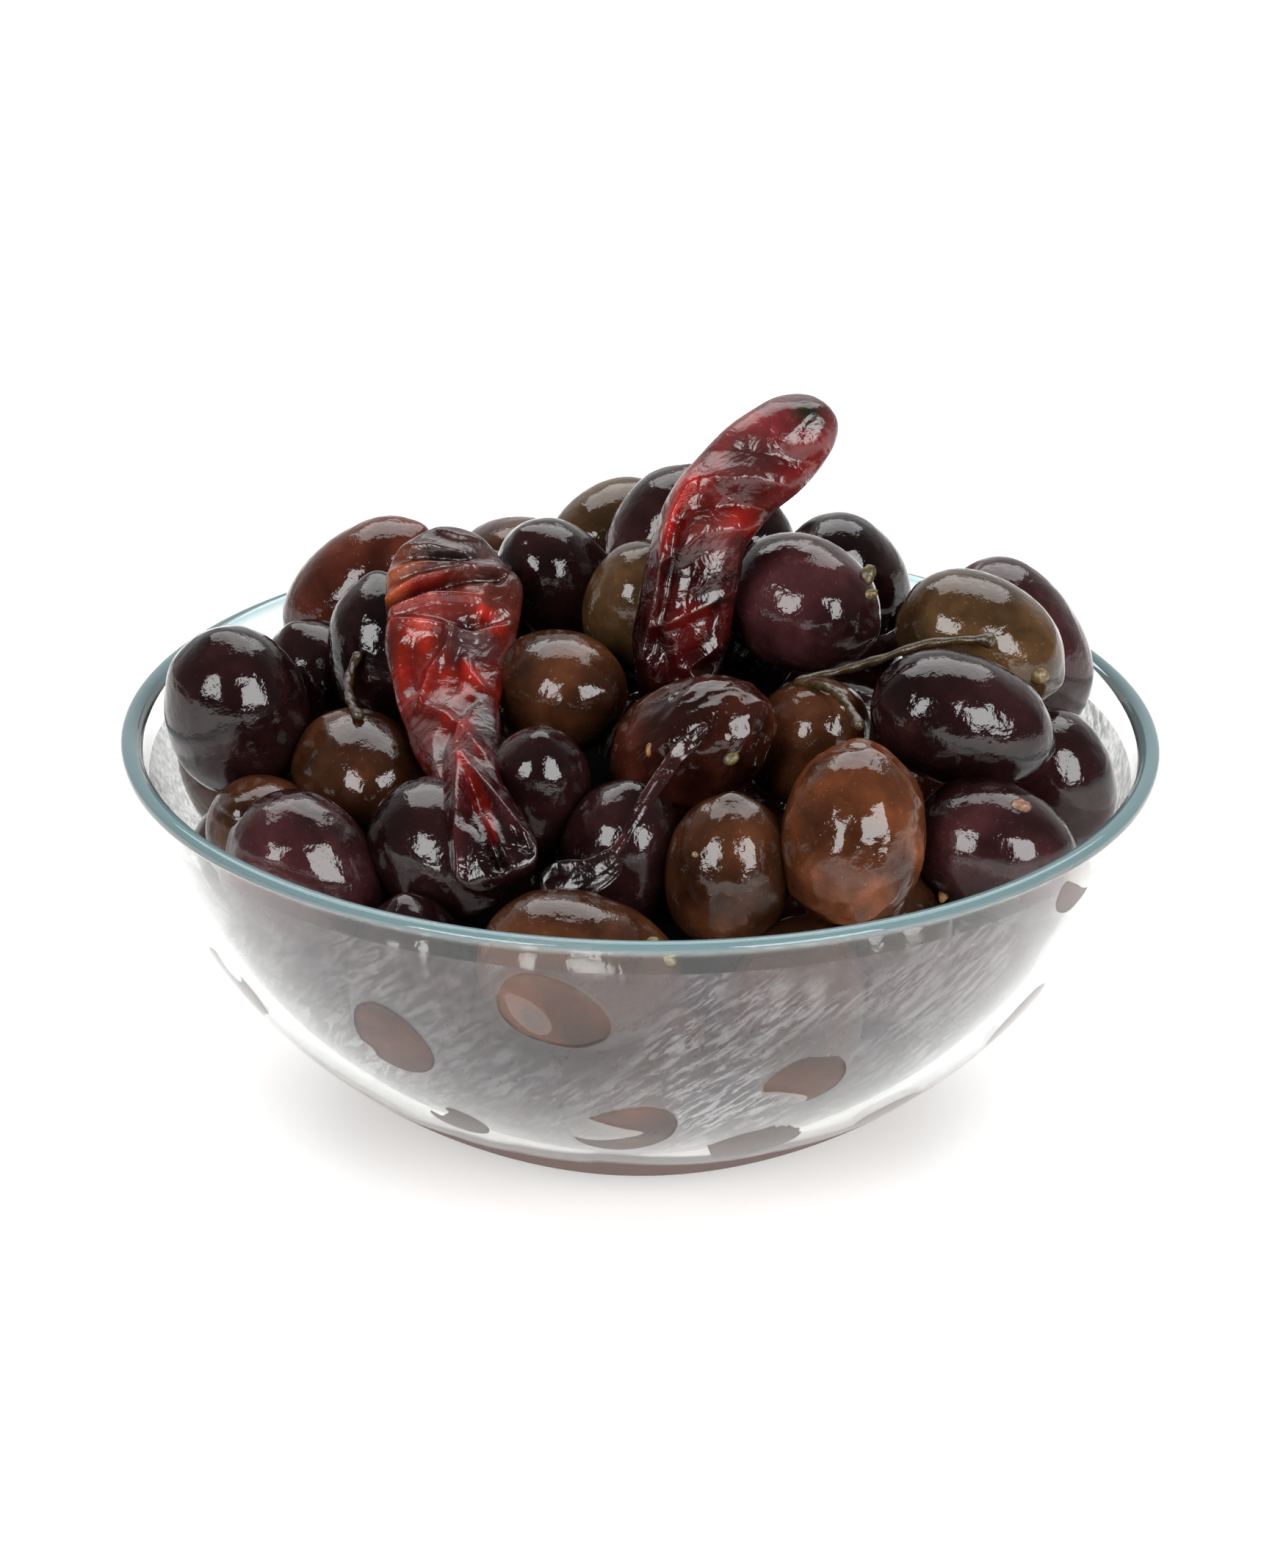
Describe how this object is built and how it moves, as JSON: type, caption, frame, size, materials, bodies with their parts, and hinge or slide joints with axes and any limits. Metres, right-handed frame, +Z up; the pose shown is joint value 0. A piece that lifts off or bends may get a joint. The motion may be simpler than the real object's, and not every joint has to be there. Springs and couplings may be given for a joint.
{
  "type": "dish of olives",
  "caption": "Round glass bowl on a flat foot, heaped above its rim with whole dark table olives, with two dried chili pods and loose stems on top.",
  "frame": {"origin": "middle of the bowl's flat foot, on the surface that it stands on", "axes": "+Z up; the pictured front faces -Y, and +X is the right of the picture"},
  "size_m": [0.1396, 0.1396, 0.101],
  "materials": {
    "bowl_glass": "clear pale aqua, smooth",
    "olive_skin": "oiled",
    "chili_skin": "oiled, creased",
    "stem_wood": "dry"
  },
  "bodies": {
    "root": {"bowl": "bowl_glass", "olives": "olive_skin", "chili_left": "chili_skin", "chili_right": "chili_skin", "stem_left": "stem_wood", "stem_right": "stem_wood"}
  },
  "joints": []
}
